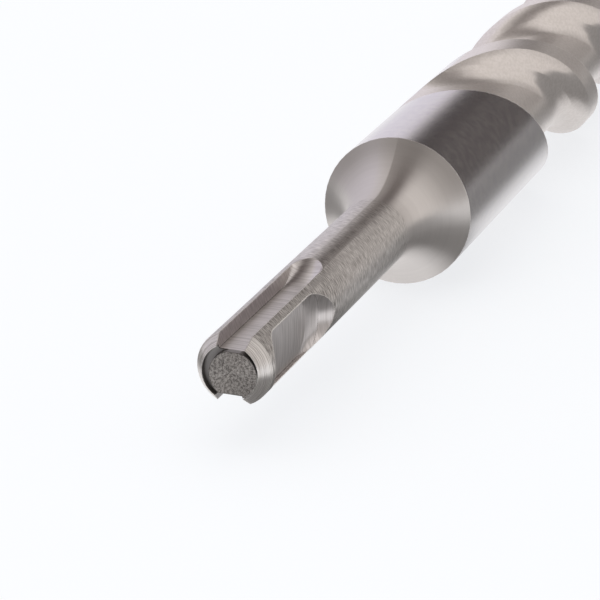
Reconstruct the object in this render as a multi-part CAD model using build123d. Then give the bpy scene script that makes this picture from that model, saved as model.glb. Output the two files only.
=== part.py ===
from build123d import *
import math
import os

# SDS plus masonry drill bit, lying on a flat surface, in millimetres.
# X runs along the drill from the shank's end face to the carbide point, and +Z is up.
# The origin is the centre of the shank's end face.
# Angles round the drill start at +Z and turn clockwise as seen from the shank's end.

# Drill as a whole
overall_length = 250.0
shank_diameter = 10.0
body_diameter = 21.7

# Shank end: chamfer, turned rim and the sheared core inside it
chamfer_length = 2.0
rim_diameter = 7.44
rim_width = 0.03
core_diameter = 6.34
core_offset_y = -0.42
core_offset_z = -0.25
core_channel_depth = 0.9

# Trumpet between the shank and the collar
trumpet_start = 59.4
trumpet_length = 11.0

# Two drive grooves, open at the shank's end
drive_angle = 2.0
drive_floor_height = 2.8
drive_floor_width = 3.5
drive_wall_draft = 13.5
drive_crease_height = 4.2
drive_end_x = 31.9

# Two locking grooves, closed at both ends
lock_angle = 90.6
lock_floor_height = 2.7
lock_floor_width = 7.4
lock_wall_draft = 6.0
lock_crease_height = 3.38
lock_start_x = 3.1
lock_end_x = 26.5

# Rear end of every groove: the floor rises hollow to a crease, then a plain slope runs out
rise_radius = 8.0
run_out_slope = 44.0
rise_steps = 2

# Two helical flutes, and a crowned land between them that blends into the far wall
flute_lead = 63.0
flute_start_x = 96.5
flute_depth = 3.6
flute_floor_width = 15.1
near_wall_slope = 42.0
far_wall_slope = 35.0
near_floor_radius = 6.0
far_floor_radius = 7.0
land_front_drop = 1.8
land_front_slope = 10.6
full_depth_angle = 20.0
runout_turn = 70.0
section_turn = 25.0

# Carbide tip, and the head that holds it in a slot
tip_overhang = 1.35
tip_thickness = 4.6
tip_height = 12.0
tip_base_chamfer = 1.2
point_angle = 130.0
relief_angle = 22.0
head_set_back = 1.5
head_width = 11.0
head_ramp_angle = 40.0

# Room that cutting shapes reach past the steel they cut, and the same at a shallow run-out
clear = 2.0
small_clear = 0.3
# Where the bar's own seam line lies, which shows nowhere
seam_angle = 30.0

shank_radius = shank_diameter / 2
rim_radius = rim_diameter / 2
body_radius = body_diameter / 2
tip_radius = body_radius + tip_overhang
point_slope = math.tan(math.radians(90 - point_angle / 2))
relief_slope = math.tan(math.radians(relief_angle))
# The drill rests on its lands and on the lower corner of the wider carbide tip.
corner_lift = math.degrees(math.acos(body_radius / tip_radius))
corner_spread = math.degrees(math.asin(tip_thickness / 2 / tip_radius))
tip_angle = 180 - corner_lift - corner_spread


def shank():
    """The turned front of the drill: rim, chamfer, round shank and the trumpet's flare."""
    trumpet_end = trumpet_start + trumpet_length
    shank_end = (trumpet_start, shank_radius)
    chamfer_end = (chamfer_length, shank_radius)
    outline = Wire([
        Line((0, 0), (0, rim_radius)),
        Line((0, rim_radius), chamfer_end),
        Line(chamfer_end, shank_end),
        TangentArc(shank_end, (trumpet_end, body_radius), tangent=(1, 0)),
        Line((trumpet_end, body_radius), (trumpet_end, 0)),
        Line((trumpet_end, 0), (0, 0)),
    ])
    return revolve(Plane.XZ * make_face(outline), Axis.X)


def bar():
    """The round bar of the collar and the body, from the trumpet to the point."""
    start_x = trumpet_start + trumpet_length
    length = overall_length - start_x
    round_bar = Cylinder(body_radius, length, align=(Align.CENTER, Align.CENTER, Align.MIN))
    return Pos(start_x, 0, 0) * Rot(X=seam_angle) * Rot(Y=90) * round_bar


def point_cone():
    """What is turned off the bar's end to leave the head's cone."""
    apex_x = overall_length - head_set_back
    outer_radius = body_radius + clear
    outline = Polyline(
        (apex_x, 0),
        (overall_length + clear, 0),
        (overall_length + clear, outer_radius),
        (apex_x - outer_radius * point_slope, outer_radius),
        close=True,
    )
    return revolve(Plane.XZ * make_face(outline), Axis.X)


def end_channel():
    """The channel between the turned rim and the off-centre core of the end face."""
    face_plane = Plane(origin=(0, 0, 0), x_dir=(0, 1, 0), z_dir=(1, 0, 0))
    mouth = Circle(rim_radius - rim_width)
    core = Pos(core_offset_y, core_offset_z) * Circle(core_diameter / 2)
    return extrude(face_plane * (mouth - core), core_channel_depth)


def groove(front_x, end_x, floor_height, crease_height, floor_width, draft):
    """A shank groove above +Z, as a round end mill leaves it when it lifts while it feeds."""
    top_height = shank_radius + clear
    flare = math.tan(math.radians(draft))
    mill_radius = floor_width / 2 + (shank_radius - floor_height) * flare
    slope_rate = 1 / math.tan(math.radians(run_out_slope))
    rise_turn = math.acos(1 - (crease_height - floor_height) / rise_radius)
    crease_rear = end_x - mill_radius - (shank_radius - crease_height) * slope_rate

    def level(height, rear_x):
        width = floor_width + 2 * (height - floor_height) * flare
        plan = SlotCenterToCenter(rear_x - front_x, width)
        return Pos((front_x + rear_x) / 2, 0, height) * plan

    rise_start = crease_rear - rise_radius * math.sin(rise_turn)
    rise = []
    for step in range(rise_steps + 1):
        turn = rise_turn * step / rise_steps
        height = floor_height + rise_radius * (1 - math.cos(turn))
        rise.append(level(height, rise_start + rise_radius * math.sin(turn)))
    top_rear = crease_rear + (top_height - crease_height) * slope_rate
    run_out = loft([rise[-1], level(top_height, top_rear)], ruled=True)
    return loft(rise) + run_out


def drive_grooves():
    """The pair that the hammer's keys drive, open at the end of the shank."""
    cut = groove(-clear - drive_floor_width, drive_end_x, drive_floor_height,
                 drive_crease_height, drive_floor_width, drive_wall_draft)
    return [Rot(X=drive_angle + turn) * cut for turn in (0, 180)]


def lock_grooves():
    """The pair that the hammer's balls lock into, closed at both ends."""
    flare = math.tan(math.radians(lock_wall_draft))
    end_radius = lock_floor_width / 2 + (shank_radius - lock_floor_height) * flare
    cut = groove(lock_start_x + end_radius, lock_end_x, lock_floor_height,
                 lock_crease_height, lock_floor_width, lock_wall_draft)
    return [Rot(X=lock_angle + turn) * cut for turn in (0, 180)]


def flute_section(angle, lift):
    """The flute's profile in the plane that holds the axis, at one angle of its helix."""
    floor = body_radius - flute_depth
    top = body_radius + clear
    near_rate = 1 / math.tan(math.radians(near_wall_slope))
    far_turn = math.radians(far_wall_slope)
    front_turn = math.radians(land_front_slope)
    near_foot = flute_depth * near_rate
    far_foot = near_foot + flute_floor_width
    # A round shoulder takes the far wall up to the land, and on past the land's surface
    shoulder = body_radius - land_front_drop
    shoulder_x = far_foot + (shoulder - floor) / math.tan(far_turn)
    radius = land_front_drop / (math.cos(front_turn) - math.cos(far_turn))
    center = (shoulder_x + radius * math.sin(far_turn), shoulder - radius * math.cos(far_turn))
    land_front = CenterArc(center, radius, 90 + far_wall_slope, land_front_slope / 2 - far_wall_slope)
    crest = land_front @ 1
    rest = Polyline(
        crest,
        (crest.X, top),
        (near_foot - (top - floor) * near_rate, top),
        (near_foot, floor),
        (far_foot, floor),
        (shoulder_x, shoulder),
    )
    profile = make_face([*rest.edges(), land_front])
    for foot, foot_radius in ((near_foot, near_floor_radius), (far_foot, far_floor_radius)):
        profile = fillet(profile.vertices().sort_by_distance((foot, floor))[0], foot_radius)
    along = flute_start_x + flute_lead * angle / 360
    return Rot(X=angle) * (Pos(along, 0, lift) * (Plane.XZ * profile))


def flutes():
    """Two right-hand helical flutes, each sunk in gradually where it leaves the collar."""
    first_angle = full_depth_angle - runout_turn
    last_angle = (overall_length + clear - flute_start_x) / flute_lead * 360
    steps = math.ceil((last_angle - first_angle) / section_turn)
    sections = []
    for step in range(steps + 1):
        angle = first_angle + section_turn * step
        way_back = max(0, full_depth_angle - angle) / runout_turn
        sections.append(flute_section(angle, (flute_depth + small_clear) * way_back**2))
    cut = loft(sections)
    return [Rot(X=turn) * cut for turn in (0, 180)]


def head():
    """The steel that stands up each side of the carbide tip, ramped out of the flutes."""
    tip_base = overall_length - tip_height
    ramp_radius = body_radius - flute_depth - clear
    ramp_length = (body_radius - ramp_radius) / math.tan(math.radians(head_ramp_angle))
    outline = Polyline(
        (tip_base - ramp_length, 0),
        (tip_base - ramp_length, ramp_radius),
        (tip_base, body_radius),
        (overall_length, body_radius),
        (overall_length, 0),
        close=True,
    )
    cheeks = Pos(tip_base, 0, 0) * Box(4 * tip_height, head_width, 2 * tip_radius)
    return Rot(X=tip_angle) * (revolve(Plane.XZ * make_face(outline), Axis.X) & cheeks)


def tip_slot():
    """The slot across the head that the carbide tip is brazed into."""
    length = tip_height + clear
    box = Box(length, tip_thickness, 2 * (tip_radius + clear), align=(Align.MIN, Align.CENTER, Align.CENTER))
    return Rot(X=tip_angle) * Pos(overall_length - tip_height, 0, 0) * box


def drill_body():
    """The one-piece steel body: shank, trumpet, collar, fluted part and head."""
    body = bar()
    for cut in flutes():
        body -= cut
    body += head()
    body -= point_cone()
    body -= tip_slot()
    front = shank() - end_channel()
    for cut in drive_grooves() + lock_grooves():
        front -= cut
    return front + body


def carbide_tip():
    """The brazed carbide plate: a roof with two relieved cutting edges and a chisel edge."""
    base_x = overall_length - tip_height
    peak_x = overall_length + relief_slope * tip_thickness / 2
    edge_x = peak_x - tip_radius * point_slope
    outline = Polyline(
        (base_x, -tip_radius + tip_base_chamfer),
        (base_x + tip_base_chamfer, -tip_radius),
        (edge_x, -tip_radius),
        (peak_x, 0),
        (edge_x, tip_radius),
        (base_x + tip_base_chamfer, tip_radius),
        (base_x, tip_radius - tip_base_chamfer),
        close=True,
    )
    plate = extrude(Plane.XZ * make_face(outline), tip_thickness / 2, both=True)
    plate &= Pos(base_x, 0, 0) * Rot(Y=90) * Cylinder(
        tip_radius, tip_height + 2 * clear, align=(Align.CENTER, Align.CENTER, Align.MIN))
    for side in (1, -1):
        leading_edge = (peak_x, -side * tip_thickness / 2, 0)
        flank = Plane(origin=leading_edge, z_dir=(1, side * relief_slope, side * point_slope))
        plate = split(plate, flank, keep=Keep.BOTTOM)
    return Rot(X=tip_angle) * plate


os.makedirs("parts", exist_ok=True)
export_step(drill_body(), "parts/drill_body.step")
export_step(carbide_tip(), "parts/carbide_tip.step")
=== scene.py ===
import math

import bpy
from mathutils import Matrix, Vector


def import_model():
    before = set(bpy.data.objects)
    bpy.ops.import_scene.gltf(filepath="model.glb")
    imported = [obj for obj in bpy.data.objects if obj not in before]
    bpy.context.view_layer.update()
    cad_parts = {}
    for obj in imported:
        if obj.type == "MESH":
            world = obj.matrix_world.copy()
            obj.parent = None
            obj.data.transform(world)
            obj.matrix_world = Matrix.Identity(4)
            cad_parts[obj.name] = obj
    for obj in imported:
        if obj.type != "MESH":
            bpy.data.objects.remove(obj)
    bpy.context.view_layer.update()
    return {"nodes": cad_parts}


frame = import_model()
nodes = frame["nodes"]

MM = 0.001

# Sizes of the drill in millimetres, along its axis from the shank's end
RIM_RADIUS = 3.72
CHAMFER_LENGTH = 2.0
SHANK_RADIUS = 5.0
TRUMPET_START = 59.4
TRUMPET_END = 70.4
BODY_RADIUS = 10.85
FLUTE_START = 96.5
FLUTE_LEAD = 63.0
FLOOR_Z = -BODY_RADIUS

# The sheared core in the end face: its radius and its centre in Y and Z, and the depth of the
# channel round it
CORE_RADIUS = 3.17
CORE_Y = -0.42
CORE_Z = -0.25
CHANNEL_DEPTH = 0.9

# Where the ground finish of the collar stops. In each half turn from this angle round the drill
# the line first runs straight and then follows a flute's edge
FINISH_LINE = 97.5
FINISH_TURN = -28.0

# Where the chuck's scuffing of the shank begins to fade, and where it ends
SCUFFED_TO = 26.0
CLEAN_FROM = 36.0

# Patterns of the finishes in millimetres: how far apart marks lie and how long they are, or how
# wide grains are. A pixel covers 0.12 mm of the shank, so most of them are drawn coarser than
# they are, as coarse as they need to be to show. The real sizes given here are typical ones.
# Grinding wheel on the shank: really about 0.03 apart
GRIND_PITCH = 0.15
GRIND_LENGTH = 1.1
# Polished turning rings on the trumpet: really about 0.1 apart
RING_PITCH = 0.5
RING_LENGTH = 12.0
# Clouds of the heat treatment on the collar, about as wide as the photograph shows, and its
# specks, really about 0.1
CLOUD_SIZE = 1.1
SPECK_SIZE = 0.5
# Blasting grit on the flutes: really about 0.1
BLAST_GRAIN = 0.45
# End mill in the grooves: really about 0.08 apart
MILL_PITCH = 0.28
MILL_LENGTH = 2.0
# Lathe on the chamfer: about the real feed for each turn
LATHE_PITCH = 0.1
LATHE_LENGTH = 9.0
# Torn grains of the core, about as wide as the photograph shows
FINE_TEAR = 0.16
COARSE_TEAR = 0.35
# Diamond wheel on the carbide: really about 0.02 apart. Its sintered grains are really 0.002 wide
WHEEL_PITCH = 0.12
WHEEL_LENGTH = 3.0
SINTER_GRAIN = 0.25

# Radius, in millimetres, over which an edge of a cut is rounded in shading, and the width of the
# painted highlight and painted shade along it
EDGE_RADIUS = 0.18

# Camera: its place and aim come from a fit to the photograph. A point of the drill's axis lies
# this far to its right, below it and ahead of it, in millimetres
CAMERA_LENS = 205.08
CAMERA_TILT_DOWN = 19.015
CAMERA_HEADING = 18.69
AXIS_POINT_X = 2.0
AXIS_POINT_RIGHT = -8.094
AXIS_POINT_DOWN = 8.4475
AXIS_POINT_AHEAD = 424.815

# Strength of the studio's light, and how brightly the acrylic floor glows where the camera sees
# it and where the steel does. Spill is the share of its lamp that spreads through all the sheet
STUDIO_LIGHT = 1.15
CAMERA_GLOW = 0.75
GLOSSY_GLOW = 1.0
SPILL = 0.08

# The lamp under the acrylic, in millimetres to the right of the drill's axis: how far it shines in
# full and how far at all, beside the grooves, the plain shank and the collar
LAMP_FULL = (-6.0, SHANK_RADIUS - 1, BODY_RADIUS)
LAMP_WIDEST = (5.0, SHANK_RADIUS + 9, BODY_RADIUS + 12)
# Where it ends on the left, and where it is full again
LAMP_LEFT_END = -36.0
LAMP_LEFT_FULL = -22.0
# Where a second lamp to the right of the shank starts, and where it is full
SECOND_LAMP_START = 24.0
SECOND_LAMP_FULL = 32.0

# Kinds of node and their usual settings
MATH = "ShaderNodeMath"
RANGE = "ShaderNodeMapRange"
MIX = "ShaderNodeMix"
NOISE = "ShaderNodeTexNoise"
JOIN = "ShaderNodeCombineXYZ"
SPLIT = "ShaderNodeSeparateXYZ"
VECTOR = "ShaderNodeVectorMath"
POINT = "ShaderNodeTexCoord"
BUMP = "ShaderNodeBump"
ADD = {"operation": "ADD"}
SUBTRACT = {"operation": "SUBTRACT"}
MULTIPLY = {"operation": "MULTIPLY"}
MULTIPLY_ADD = {"operation": "MULTIPLY_ADD"}
MAXIMUM = {"operation": "MAXIMUM"}
MINIMUM = {"operation": "MINIMUM"}
SMOOTH = {"interpolation_type": "SMOOTHSTEP"}
COLOUR = {"data_type": "RGBA"}
FLAT = {"noise_dimensions": "2D"}


def linear(hex_colour):
    """A six-figure sRGB colour as linear red, green, blue and alpha."""
    channels = []
    for start in (0, 2, 4):
        value = int(hex_colour[start:start + 2], 16) / 255
        channels.append(value / 12.92 if value <= 0.04045 else ((value + 0.055) / 1.055) ** 2.4)
    return (*channels, 1.0)


def add(tree, kind, settings, *values, **named):
    """Adds a node. Its inputs take numbers, colours, sockets, or nodes for their first output."""
    node = tree.nodes.new(kind)
    for name, value in settings.items():
        setattr(node, name, value)
    pairs = list(zip([socket for socket in node.inputs if socket.enabled], values))
    pairs += [(node.inputs[name.replace("_", " ")], value) for name, value in named.items()]
    for socket, value in pairs:
        if isinstance(value, bpy.types.Node):
            value = next(output for output in value.outputs if output.enabled)
        if isinstance(value, bpy.types.NodeSocket):
            tree.links.new(value, socket)
        else:
            socket.default_value = value
    return node


def empty_material(name):
    """A new material, and its node tree with nothing in it."""
    material = bpy.data.materials.new(name)
    material.use_nodes = True
    material.node_tree.nodes.clear()
    return material, material.node_tree


def place_on_object(tree):
    """Where a point lies on its object, in millimetres: as one vector, and as X, Y and Z."""
    place = add(tree, VECTOR, {"operation": "SCALE"}, add(tree, POINT, {}).outputs["Object"],
                Scale=1 / MM)
    return place, *add(tree, SPLIT, {}, place).outputs


def angle_round(tree, y, z):
    """Degrees round the drill's axis, from straight up and clockwise as seen from the shank."""
    turn = add(tree, MATH, {"operation": "ARCTAN2"}, add(tree, MATH, MULTIPLY, y, -1.0), z)
    return add(tree, MATH, {"operation": "DEGREES"}, turn)


def distance(tree, y, z):
    """How far a point at Y and Z lies from an axis along X."""
    squares = add(tree, MATH, ADD, add(tree, MATH, MULTIPLY, y, y), add(tree, MATH, MULTIPLY, z, z))
    return add(tree, MATH, {"operation": "SQRT"}, squares)


def camera():
    """The camera, where the photograph was taken from."""
    tilt = math.radians(CAMERA_TILT_DOWN)
    heading = math.radians(CAMERA_HEADING)
    ahead = Vector((
        math.cos(tilt) * math.cos(heading),
        math.cos(tilt) * math.sin(heading),
        -math.sin(tilt),
    ))
    right = Vector((math.sin(heading), -math.cos(heading), 0))
    down = ahead.cross(right)
    place = Vector((AXIS_POINT_X, 0, 0))
    place -= AXIS_POINT_RIGHT * right + AXIS_POINT_DOWN * down + AXIS_POINT_AHEAD * ahead
    data = bpy.data.cameras.new("camera")
    data.lens = CAMERA_LENS
    data.clip_start = 0.01
    data.clip_end = 20
    view = bpy.data.objects.new("camera", data)
    view.location = place * MM
    view.rotation_euler = ahead.to_track_quat("-Z", "Y").to_euler()
    bpy.context.scene.collection.objects.link(view)
    bpy.context.scene.camera = view


def world():
    """Soft studio light: wide lamps to both sides of the drill, and a dark room beyond its tip."""
    sky = bpy.data.worlds.new("studio")
    sky.use_nodes = True
    bpy.context.scene.world = sky
    tree = sky.node_tree
    tree.nodes.clear()
    x, y, z = add(tree, SPLIT, {}, add(tree, POINT, {}).outputs["Generated"]).outputs
    turn = angle_round(tree, y, z)
    # The tip's half of the room is lit and the half behind the camera is dim. Far to the left
    # the light starts nearer to the tip
    far_left = add(tree, RANGE, SMOOTH, turn, -35.0, -75.0)
    towards_tip = add(tree, MATH, MULTIPLY_ADD, far_left, -0.3, x)
    lamps = add(tree, RANGE, SMOOTH, towards_tip, -0.45, 0.05)
    # The left lamp is a little cooler
    left = add(tree, MATH, MULTIPLY, add(tree, RANGE, SMOOTH, turn, -20.0, -40.0), lamps)
    # The gap overhead between the left lamp and the right one
    gap = add(tree, MATH, MULTIPLY, add(tree, RANGE, SMOOTH, x, -0.5, 0.0),
              add(tree, MATH, MULTIPLY, add(tree, RANGE, SMOOTH, turn, -34.0, 2.0),
                  add(tree, RANGE, SMOOTH, turn, 32.0, 8.0)))
    # The dark room beyond the tip, above the drill and to its right
    far = add(tree, MATH, MULTIPLY, add(tree, RANGE, SMOOTH, x, 0.62, 0.84),
              add(tree, MATH, MULTIPLY, add(tree, RANGE, SMOOTH, turn, -38.0, -14.0),
                  add(tree, RANGE, SMOOTH, turn, 135.0, 95.0)))
    shade = add(tree, MIX, COLOUR, lamps, linear("8C8987"), linear("FFFCFA"))
    shade = add(tree, MIX, COLOUR, left, shade, linear("F1EFFA"))
    shade = add(tree, MIX, COLOUR, gap, shade, linear("6A6260"))
    shade = add(tree, MIX, COLOUR, far, shade, linear("524E4E"))
    # Matt surfaces are lit from above and from the left
    above = add(tree, MATH, MULTIPLY_ADD, y, 0.8, z)
    above = add(tree, RANGE, SMOOTH, above, -0.5, 1.0)
    soft = add(tree, MIX, COLOUR, above, linear("3C3E42"), linear("FFFFFF"))
    paths = add(tree, "ShaderNodeLightPath", {})
    shade = add(tree, MIX, COLOUR, paths.outputs["Is Diffuse Ray"], shade, soft)
    light = add(tree, "ShaderNodeBackground", {}, shade, STUDIO_LIGHT)
    white = add(tree, "ShaderNodeBackground", {}, (1, 1, 1, 1))
    both = add(tree, "ShaderNodeMixShader", {}, paths.outputs["Is Camera Ray"], light, white)
    add(tree, "ShaderNodeOutputWorld", {}, both)


def floor():
    """A sheet of white acrylic, an even white, with lamps below it that the steel reflects."""
    bpy.ops.mesh.primitive_plane_add(size=4, location=(0, 0, FLOOR_Z * MM))
    sheet = bpy.context.active_object
    sheet.name = "floor"
    material, tree = empty_material("white_acrylic_sheet")
    x, y = place_on_object(tree)[1:3]
    side = add(tree, MATH, MULTIPLY, y, -1.0)
    # The lamp's right border steps outwards from the grooves to the shank and to the collar
    shank = add(tree, RANGE, SMOOTH, x, 35.0, 60.0)
    collar = add(tree, RANGE, SMOOTH, x, 80.0, 96.0)
    borders = []
    for by_grooves, by_shank, by_collar in (LAMP_FULL, LAMP_WIDEST):
        border = add(tree, MIX, {}, shank, by_grooves, by_shank)
        borders.append(add(tree, MIX, {}, collar, border, by_collar))
    full, widest = borders
    # It ends on the left too, but beside the flutes it goes on
    left = add(tree, MATH, MAXIMUM,
               add(tree, RANGE, SMOOTH, side, LAMP_LEFT_END, LAMP_LEFT_FULL),
               add(tree, RANGE, SMOOTH, x, 85.0, 100.0))
    below = add(tree, MATH, MULTIPLY, add(tree, RANGE, SMOOTH, side, widest, full), left)
    beside = add(tree, MATH, MULTIPLY,
                 add(tree, RANGE, SMOOTH, side, SECOND_LAMP_START, SECOND_LAMP_FULL),
                 add(tree, RANGE, SMOOTH, x, 62.0, 48.0))
    lamp = add(tree, MATH, MAXIMUM, add(tree, MATH, MAXIMUM, below, beside), SPILL)
    glow = add(tree, MATH, MULTIPLY, lamp, GLOSSY_GLOW)
    paths = add(tree, "ShaderNodeLightPath", {})
    glow = add(tree, MIX, {}, paths.outputs["Is Glossy Ray"], 0.0, glow)
    glow = add(tree, MIX, {}, paths.outputs["Is Camera Ray"], glow, CAMERA_GLOW)
    lit = add(tree, "ShaderNodeBsdfDiffuse", {}, linear("909090"))
    own = add(tree, "ShaderNodeEmission", {}, linear("FAFCFF"), glow)
    both = add(tree, "ShaderNodeAddShader", {}, lit, own)
    add(tree, "ShaderNodeOutputMaterial", {}, both)
    sheet.data.materials.append(material)


def marks(tree, along, across, pitch, length):
    """Fine cutting or grinding marks: noise drawn out to lines, pitch apart and length long."""
    line = add(tree, JOIN, {}, add(tree, MATH, MULTIPLY, along, 1 / pitch),
               add(tree, MATH, MULTIPLY, across, 1 / length))
    return add(tree, NOISE, FLAT, line, Scale=1.0, Detail=2.0).outputs[0]


def grain(tree, place, size, detail=2.0):
    """Even grain, one size of grain across, in millimetres."""
    return add(tree, NOISE, {}, place, Scale=1 / size, Detail=detail).outputs[0]


def tone(tree, factor, dark, light, low=0.3, high=0.7):
    """A colour between dark and light, as factor goes from low to high."""
    share = add(tree, RANGE, SMOOTH, factor, low, high)
    return add(tree, MIX, COLOUR, share, linear(dark), linear(light))


def steel_finishes(tree, place, x, radius, turn):
    """Each part's finish: its colour, its roughness and its height in millimetres."""
    # The length round the shank's surface
    arc = add(tree, MATH, MULTIPLY, turn, math.radians(SHANK_RADIUS))

    # Shank: ground, with fine marks that slant round it. The chuck has scuffed it round the
    # grooves, so it is darker and more grained there
    slant = add(tree, MATH, MULTIPLY_ADD, arc, 0.22, x)
    ground = marks(tree, slant, arc, GRIND_PITCH, GRIND_LENGTH)
    scuffed = add(tree, RANGE, SMOOTH, x, CLEAN_FROM, SCUFFED_TO)
    shank = (add(tree, MIX, COLOUR, scuffed, tone(tree, ground, "B0AAA6", "E0DBD7"),
                 tone(tree, ground, "8C8682", "DCD7D3")),
             add(tree, RANGE, {}, ground, 0.3, 0.7, 0.4, 0.48),
             add(tree, MATH, MULTIPLY, ground, 0.013))

    # Trumpet: polished after turning, so it is even, with only a trace of rings
    rings = marks(tree, x, arc, RING_PITCH, RING_LENGTH)
    trumpet = (tone(tree, rings, "D0CAC6", "D3CDC9"), 0.4,
               add(tree, MATH, MULTIPLY, rings, 0.0004))

    # Collar: ground smoothest of all, then clouded by its heat treatment
    clouds = grain(tree, place, CLOUD_SIZE, 4.0)
    collar = (tone(tree, clouds, "C2BCBC", "C9C3C1", 0.36, 0.64),
              add(tree, RANGE, {}, clouds, 0.36, 0.64, 0.195, 0.208),
              add(tree, MATH, MULTIPLY, grain(tree, place, SPECK_SIZE), 0.006))

    # Flutes and lands: blasted to a satin grain after milling
    blast = grain(tree, place, BLAST_GRAIN)
    flutes = (tone(tree, blast, "D6CEC8", "E0D8D3"), 0.33,
              add(tree, MATH, MULTIPLY, blast, 0.004))

    # Grooves: the end mill's marks run across them, and lean over as the walls go down
    lean = add(tree, MATH, MULTIPLY_ADD, radius, 0.35, x)
    mill = marks(tree, lean, radius, MILL_PITCH, MILL_LENGTH)
    grooves = (tone(tree, mill, "BAB4B1", "D2CCCA"), 0.34,
               add(tree, MATH, MULTIPLY, mill, 0.009))

    # Chamfer: turned, with one fine ring for each turn of the lathe
    lathe = marks(tree, x, arc, LATHE_PITCH, LATHE_LENGTH)
    chamfer = (tone(tree, lathe, "BEB8B3", "EAE5E1", 0.35, 0.65), 0.42,
               add(tree, MATH, MULTIPLY, lathe, 0.005))

    # Channel round the core: cut deep and left dull
    channel = (tone(tree, mill, "8A8685", "989492"), 0.45, 0.0)

    # Core: sheared off the bar, so it is torn into coarse grains
    torn = add(tree, MATH, ADD, grain(tree, place, FINE_TEAR), grain(tree, place, COARSE_TEAR))
    core = (tone(tree, torn, "76716E", "C0BAB5", 0.75, 1.25), 0.55,
            add(tree, MATH, MULTIPLY, torn, 0.02))
    return {"shank": shank, "trumpet": trumpet, "collar": collar, "flutes": flutes,
            "chamfer": chamfer, "grooves": grooves, "channel": channel, "core": core}


def depth_of_cut(tree, x, radius):
    """How far a point lies below the turned surface of the shank and its chamfer."""
    slope = (SHANK_RADIUS - RIM_RADIUS) / CHAMFER_LENGTH
    chamfer_radius = add(tree, MATH, MULTIPLY_ADD, x, slope, RIM_RADIUS)
    turned_radius = add(tree, MATH, MINIMUM, SHANK_RADIUS, chamfer_radius)
    return add(tree, MATH, SUBTRACT, turned_radius, radius)


def steel_parts(tree, x, y, z, radius, turn, depth):
    """Where each finish lies, in the order in which one covers the other, from 0 to 1."""
    after_shank = add(tree, RANGE, SMOOTH, x, TRUMPET_START - 0.4, TRUMPET_START + 0.4)
    after_trumpet = add(tree, RANGE, SMOOTH, x, TRUMPET_END - 0.05, TRUMPET_END + 0.05)

    # The flutes' finish starts at its line on the bar's surface, and everywhere below it
    from_start = add(tree, MATH, SUBTRACT, turn, FINISH_TURN)
    half_turn = add(tree, MATH, {"operation": "FLOORED_MODULO"}, from_start, 180.0)
    half_turn = add(tree, MATH, ADD, FINISH_TURN, half_turn)
    flute_edge = add(tree, MATH, MULTIPLY_ADD, half_turn, FLUTE_LEAD / 360, FLUTE_START)
    line = add(tree, MATH, MAXIMUM, flute_edge, FINISH_LINE)
    beyond_line = add(tree, RANGE, SMOOTH, add(tree, MATH, SUBTRACT, x, line), -0.5, 0.5)
    below_body = add(tree, RANGE, SMOOTH, radius, BODY_RADIUS - 0.03, BODY_RADIUS - 0.12)
    in_flutes = add(tree, MATH, MAXIMUM, beyond_line, below_body)
    in_flutes = add(tree, MATH, MULTIPLY, after_trumpet, in_flutes)

    on_chamfer = add(tree, RANGE, SMOOTH, x, CHAMFER_LENGTH + 0.03, CHAMFER_LENGTH - 0.03)
    in_grooves = add(tree, MATH, MULTIPLY, add(tree, RANGE, SMOOTH, depth, 0.02, 0.06),
                     add(tree, MATH, SUBTRACT, 1.0, after_shank))

    inside_rim = add(tree, RANGE, SMOOTH, radius, RIM_RADIUS + 0.02, RIM_RADIUS - 0.02)
    near_end = add(tree, RANGE, SMOOTH, x, CHANNEL_DEPTH + 0.1, CHANNEL_DEPTH + 0.05)
    in_channel = add(tree, MATH, MULTIPLY, inside_rim, near_end)
    from_core = distance(tree, add(tree, MATH, SUBTRACT, y, CORE_Y),
                         add(tree, MATH, SUBTRACT, z, CORE_Z))
    inside_core = add(tree, RANGE, SMOOTH, from_core, CORE_RADIUS + 0.01, CORE_RADIUS - 0.03)
    at_end = add(tree, RANGE, SMOOTH, x, 0.08, 0.02)
    on_core = add(tree, MATH, MULTIPLY, inside_core, at_end)
    return {"trumpet": after_shank, "collar": after_trumpet, "flutes": in_flutes,
            "chamfer": on_chamfer, "grooves": in_grooves, "channel": in_channel, "core": on_core}


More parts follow.
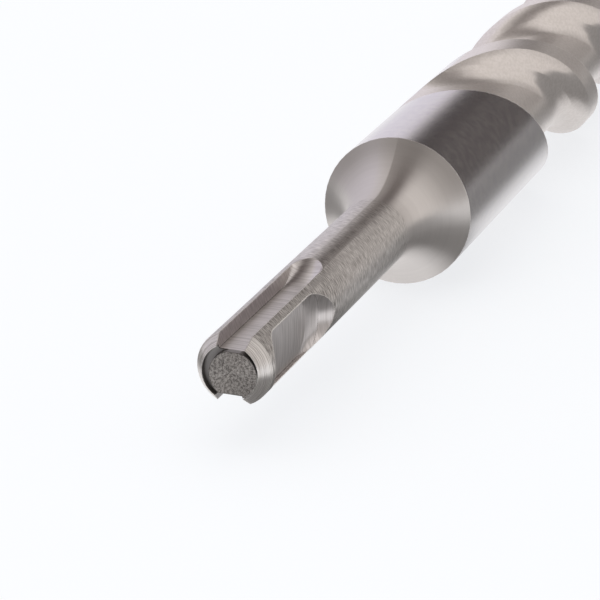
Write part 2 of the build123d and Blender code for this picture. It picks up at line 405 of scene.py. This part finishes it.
def steel():
    """Hardened alloy steel: a warm grey metal, with the finish that each part was left with."""
    material, tree = empty_material("hardened_alloy_steel")
    place, x, y, z = place_on_object(tree)
    radius = distance(tree, y, z)
    turn = angle_round(tree, y, z)
    depth = depth_of_cut(tree, x, radius)

    finishes = steel_finishes(tree, place, x, radius, turn)
    parts = steel_parts(tree, x, y, z, radius, turn, depth)
    colour, rough, height = finishes["shank"]
    for name, mask in parts.items():
        part_colour, part_rough, part_height = finishes[name]
        colour = add(tree, MIX, COLOUR, mask, colour, part_colour)
        rough = add(tree, MIX, {}, mask, rough, part_rough)
        height = add(tree, MIX, {}, mask, height, part_height)

    # Blasting roughens the flutes so finely that they scatter a quarter of the light evenly
    metal = add(tree, RANGE, {}, parts["flutes"], 0.0, 1.0, 1.0, 0.75)

    # Along the edges of the cuts, a painted highlight where they lie near the surface and a painted
    # shade where they lie deep in the cuts. Both are rough, so that they show the same from every
    # side
    edges = add(tree, "ShaderNodeBevel", {"samples": 4}, Radius=EDGE_RADIUS * MM)
    facing = add(tree, "ShaderNodeNewGeometry", {}).outputs["Normal"]
    flatness = add(tree, VECTOR, {"operation": "DOT_PRODUCT"}, edges, facing)
    bent = add(tree, RANGE, {}, flatness, 0.996, 0.93)
    deep = add(tree, RANGE, SMOOTH, depth, 0.15, 0.25)
    # The pale colour is a painted highlight on the edges and the dark one a painted shade in the
    # deep corners
    painted_edge_highlight_and_shade = add(tree, MIX, COLOUR, deep, linear("FAF6F2"), linear("5E5956"))
    colour = add(tree, MIX, COLOUR, bent, colour, painted_edge_highlight_and_shade)
    rough = add(tree, MIX, {}, bent, rough, 0.7)

    # Marks that run round the drill spread its reflections along its axis
    bump = add(tree, BUMP, {}, Distance=MM, Height=height, Normal=edges)
    circles = add(tree, "ShaderNodeTangent", {"direction_type": "RADIAL", "axis": "X"})
    shader = add(tree, "ShaderNodeBsdfPrincipled", {}, Base_Color=colour, Metallic=metal,
                 Roughness=rough, Normal=bump, Tangent=circles, Anisotropic=0.8,
                 Anisotropic_Rotation=0.25)
    add(tree, "ShaderNodeOutputMaterial", {}, shader)
    return material


def carbide():
    """Sintered tungsten carbide: dark grey and dense, with the wheel's marks on its ground faces."""
    material, tree = empty_material("ground_tungsten_carbide")
    place, x, y, z = place_on_object(tree)
    wheel = marks(tree, y, x, WHEEL_PITCH, WHEEL_LENGTH)
    sinter = grain(tree, place, SINTER_GRAIN)
    colour = tone(tree, wheel, "77777A", "8F8F92")
    height = add(tree, MATH, ADD, add(tree, MATH, MULTIPLY, wheel, 0.004),
                 add(tree, MATH, MULTIPLY, sinter, 0.003))
    bump = add(tree, BUMP, {}, Distance=MM, Height=height)
    shader = add(tree, "ShaderNodeBsdfPrincipled", {}, Base_Color=colour, Metallic=1.0,
                 Roughness=0.32, Normal=bump)
    add(tree, "ShaderNodeOutputMaterial", {}, shader)
    return material


def dress(node, material):
    """Gives a node of the solid model its material."""
    mesh = nodes[node].data
    mesh.materials.clear()
    mesh.materials.append(material)


bpy.context.scene.view_settings.view_transform = "Standard"
camera()
world()
floor()
dress("drill_body", steel())
dress("carbide_tip", carbide())
